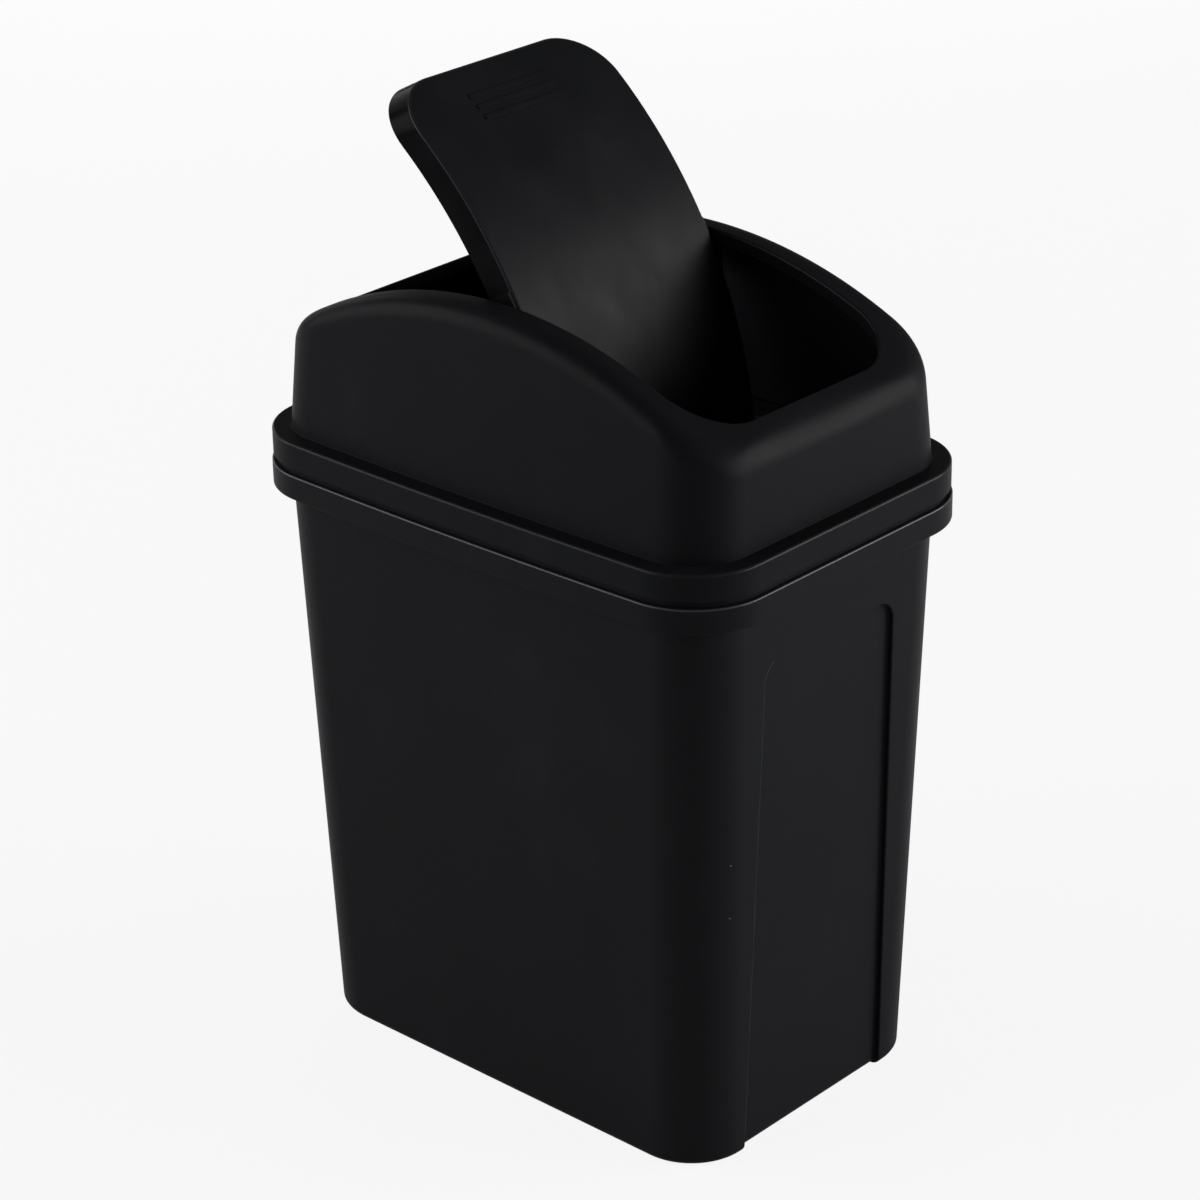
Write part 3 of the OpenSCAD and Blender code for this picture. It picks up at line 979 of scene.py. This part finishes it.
def moulded_plastic(name, f, seed, smudge, plain, roughness, gloss, ior, grained):
    """Black moulded plastic: fine grain, mottled gloss, faint rubs and a few specks of dust"""
    material = bpy.data.materials.new(name)
    g = Graph(material)
    shift = tuple(seed * c for c in SEED_SHIFT)
    where = g.vector("ADD", g.wire("ShaderNodeTexCoord", "Object"), shift)
    cloud = g.noise(where, *CLOUD)
    flow = g.noise(g.vector("MULTIPLY", where, FLOW_STRETCH), *FLOW)
    grain = g.noise(where, 1 / f.grain, *GRAIN)
    scratch = g.noise(g.vector("MULTIPLY", where, SCRATCH_STRETCH), *SCRATCH)
    rub = cloud.fade(*RUB_CLOUD) * flow.fade(*RUB_FLOW)
    line = scratch.fade(*SCRATCH_FADE) * SCRATCH_SHARE
    sockets = {"Vector": where, "Scale": SPECK_SCALE}
    cells = g.node("ShaderNodeTexVoronoi", sockets=sockets).outputs
    chance = g.wire("ShaderNodeSeparateColor", 0, sockets={0: Wire(g, cells["Color"])})
    apart = Wire(g, cells["Distance"])
    speck = (1 - apart.fade(*SPECK_FADE)) * chance.above(SPECK_CHANCE)
    clouded = (cloud - CLOUD_START) * (CLOUD_TONE * smudge)
    tone = g.blend(rub * RUB_TONE + clouded + line * SCRATCH_TONE, rgba(plain), rgba(f.worn))
    swing = f.mottle * grained * smudge
    rough = roughness + (cloud - NOISE_MIDDLE) * swing
    rough = rough + (flow - NOISE_MIDDLE) * (swing * FLOW_ROUGH) + line * SCRATCH_ROUGH
    sockets = {"Strength": 1.0, "Distance": f.grain_depth * grained, "Height": grain}
    bump = g.wire("ShaderNodeBump", 0, sockets=sockets)
    sockets = {
        "Base Color": g.blend(speck, tone, rgba(f.dust)),
        "Roughness": rough + speck * SPECK_ROUGH,
        "Specular IOR Level": gloss,
        "IOR": ior,
        "Normal": bump,
    }
    shader = g.wire("ShaderNodeBsdfPrincipled", 0, sockets=sockets)
    g.node("ShaderNodeOutputMaterial", sockets={"Surface": shader})
    return material


def seen_plainly(g, mirrored):
    """1 for what the camera sees itself or through glass, and a share of that in a reflection"""
    ray = g.node("ShaderNodeLightPath").outputs
    seen = Wire(g, ray["Is Camera Ray"]).most(Wire(g, ray["Is Transmission Ray"]))
    return seen.most(Wire(g, ray["Is Glossy Ray"]) * mirrored)


# -------- operators

# Half the floor's width, and the squares along it
FLOOR_HALF = 6
FLOOR_SQUARES = 8
# Point that the lights are turned to
LIT_POINT = Vector((0, 0, 0.17))
# Lights: name, place, width and height, setting of the power, and whether it is reflected
LIGHTS = (
    ("light_left", (-1.25, 1.15, 0.8), (2.0, 1.2), "key_left", True),
    ("light_right", (1.1, -1.35, 0.52), (1.5, 1.1), "key_right", True),
    ("light_back", (1.35, 1.25, 0.4), (1.2, 0.7), "key_back", False),
    ("light_strip", (0.33, 1.55, 0.58), (1.0, 0.35), "key_strip", True),
)
# Camera: its place, the picture's right and top, and its frame's width in millimetres
CAMERA_PLACE = (-0.85829494, -0.78790768, 0.70871401)
CAMERA_RIGHT = Vector((0.67260237, -0.73981697, -0.01664051))
CAMERA_UP = Vector((0.3218352, 0.27219854, 0.90682416))
FRAME_WIDTH = 36


class Maker(bpy.types.Operator):
    """Base of the operators that make a piece"""

    bl_options = {"REGISTER", "UNDO"}

    def place(self, piece, body, slot, node, f, gloss, sheen=1.0, smudge=1.0):
        """Give a piece its finishes, named after its slot, put it under its body, and hide its
        CAD part
        """
        if piece.data.materials:
            raise RuntimeError(f"{piece.name} already has a material")
        # Painted highlight: the edges' lighter colour, scaled by sheen, which also scales their
        # reflection
        lightened = [sheen * c for c in f.edge]
        finishes = (
            ("", f.base, f.roughness, gloss, PLASTIC_IOR, 1.0),
            ("_edge", lightened, f.edge_roughness, sheen * f.edge_gloss, PLASTIC_IOR, SLEEK_GRAIN),
            ("_polished", f.sleek, f.sleek_roughness, f.sleek_gloss, f.sleek_ior, SLEEK_GRAIN),
        )
        used = max(face.material_index for face in piece.data.polygons)
        for name, *look in finishes[: used + 1]:
            made = moulded_plastic(slot + name, f, SEEDS[body], smudge, *look)
            piece.data.materials.append(made)
        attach(piece, body)
        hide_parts(node)


class BIN_OT_make_bin(Maker):
    """Make the tapered tub with its rim band and end recesses"""

    bl_idname = "swing_bin.make_bin"
    bl_label = "Bin"

    def execute(self, context):
        s, f = context.scene, context.scene.swing_plastic
        piece = build_bin(s.swing_bin)
        self.place(piece, "bin", "bin_plastic", "bin", f, f.gloss, f.rim_sheen)
        return {"FINISHED"}


class BIN_OT_make_hood(Maker):
    """Make the hood with its ledge, arched housing and pivot seats"""

    bl_idname = "swing_bin.make_hood"
    bl_label = "Hood"

    def execute(self, context):
        s, f = context.scene, context.scene.swing_plastic
        piece = build_hood(s.swing_hood, s.swing_bin)
        self.place(piece, "hood", "hood_plastic", "hood", f, f.hood_gloss, f.ledge_sheen)
        return {"FINISHED"}


class BIN_OT_make_flap(Maker):
    """Make the arched swing flap with its skirt, pads, pins and raised bars"""

    bl_idname = "swing_bin.make_flap"
    bl_label = "Flap"

    def execute(self, context):
        s, f = context.scene, context.scene.swing_plastic
        piece = build_flap(s.swing_flap, s.swing_hood, s.swing_bin)
        self.place(piece, "flap", "flap_plastic", "flap", f, f.flap_gloss, smudge=f.smudge)
        return {"FINISHED"}


class BIN_OT_make_studio(bpy.types.Operator):
    """Make the floor, the soft lights and the camera"""

    bl_idname = "swing_bin.make_studio"
    bl_label = "Studio"

    def execute(self, context):
        s = context.scene.swing_studio
        self.floor(s)
        self.world(context, s)
        for name, place, size, power, shine in LIGHTS:
            self.light(context, name, place, size, getattr(s, power), shine)
        self.camera(context, s)
        context.scene.view_settings.view_transform = "Standard"
        return {"FINISHED"}

    def floor(self, s):
        """Pale floor that keeps the object's shadow"""
        bm = bmesh.new()
        squares = {"x_segments": FLOOR_SQUARES, "y_segments": FLOOR_SQUARES}
        bmesh.ops.create_grid(bm, **squares, size=FLOOR_HALF)
        floor = finish_mesh(bm, "floor")
        material = bpy.data.materials.new("floor")
        g = Graph(material)
        pale = g.wire("ShaderNodeBsdfDiffuse", 0, sockets={"Color": rgba(s.floor)})
        white = g.wire("ShaderNodeEmission", 0, sockets={"Color": WHITE, "Strength": 1.0})
        mixed = g.mix_shaders(seen_plainly(g, s.mirrored) * s.paleness, pale, white)
        g.node("ShaderNodeOutputMaterial", sockets={"Surface": mixed})
        floor.data.materials.append(material)

    def world(self, context, s):
        """Backdrop: white where it is seen, and a faint light from all round"""
        world = bpy.data.worlds.new("studio")
        context.scene.world = world
        g = Graph(world)
        dim = g.wire("ShaderNodeBackground", 0, sockets={"Color": WHITE, "Strength": s.fill})
        white = g.wire("ShaderNodeBackground", 0, sockets={"Color": WHITE, "Strength": 1.0})
        mixed = g.mix_shaders(seen_plainly(g, s.mirrored), dim, white)
        g.node("ShaderNodeOutputWorld", sockets={"Surface": mixed})

    def light(self, context, name, place, size, power, shine):
        """Soft rectangular lamp, turned to the object and unseen by the camera"""
        data = bpy.data.lights.new(name, "AREA")
        data.shape = "RECTANGLE"
        data.size, data.size_y = size
        data.energy = power
        lamp = bpy.data.objects.new(name, data)
        lamp.location = place
        lamp.visible_camera = False
        lamp.visible_glossy = shine
        aim = LIT_POINT - Vector(place)
        lamp.rotation_euler = aim.to_track_quat("-Z", "Y").to_euler()
        context.scene.collection.objects.link(lamp)

    def camera(self, context, s):
        """Camera at the photo's viewing angle"""
        data = bpy.data.cameras.new("camera")
        data.lens = s.lens
        data.sensor_width = FRAME_WIDTH
        camera = bpy.data.objects.new("camera", data)
        back = CAMERA_RIGHT.cross(CAMERA_UP)
        turn = Matrix((CAMERA_RIGHT, CAMERA_UP, back)).transposed().to_4x4()
        camera.matrix_world = Matrix.Translation(CAMERA_PLACE) @ turn
        context.scene.collection.objects.link(camera)
        context.scene.camera = camera


class BIN_PT_sidebar(bpy.types.Panel):
    """Lists the pieces of the bin and the studio"""

    bl_idname = "BIN_PT_sidebar"
    bl_label = "Swing Lid Bin"
    bl_space_type = "VIEW_3D"
    bl_region_type = "UI"
    bl_category = "Bin"

    def draw(self, context):
        """One button for each"""
        for maker in MAKERS:
            self.layout.operator(maker.bl_idname)


MAKERS = (BIN_OT_make_bin, BIN_OT_make_hood, BIN_OT_make_flap, BIN_OT_make_studio)
GROUPS = {
    "swing_bin": BinSizes,
    "swing_hood": HoodSizes,
    "swing_flap": FlapSizes,
    "swing_plastic": PlasticFinish,
    "swing_studio": StudioSettings,
}
CLASSES = (*GROUPS.values(), *MAKERS, BIN_PT_sidebar)


def register():
    """Add the classes, and each scene's sizes and colours"""
    for c in CLASSES:
        bpy.utils.register_class(c)
    for name, group in GROUPS.items():
        setattr(bpy.types.Scene, name, PointerProperty(type=group))


def unregister():
    """Take away what register added"""
    for name in GROUPS:
        delattr(bpy.types.Scene, name)
    for c in reversed(CLASSES):
        bpy.utils.unregister_class(c)


def main():
    register()
    bpy.ops.swing_bin.make_bin()
    bpy.ops.swing_bin.make_hood()
    bpy.ops.swing_bin.make_flap()
    bpy.ops.swing_bin.make_studio()


if __name__ == "__main__":
    main()
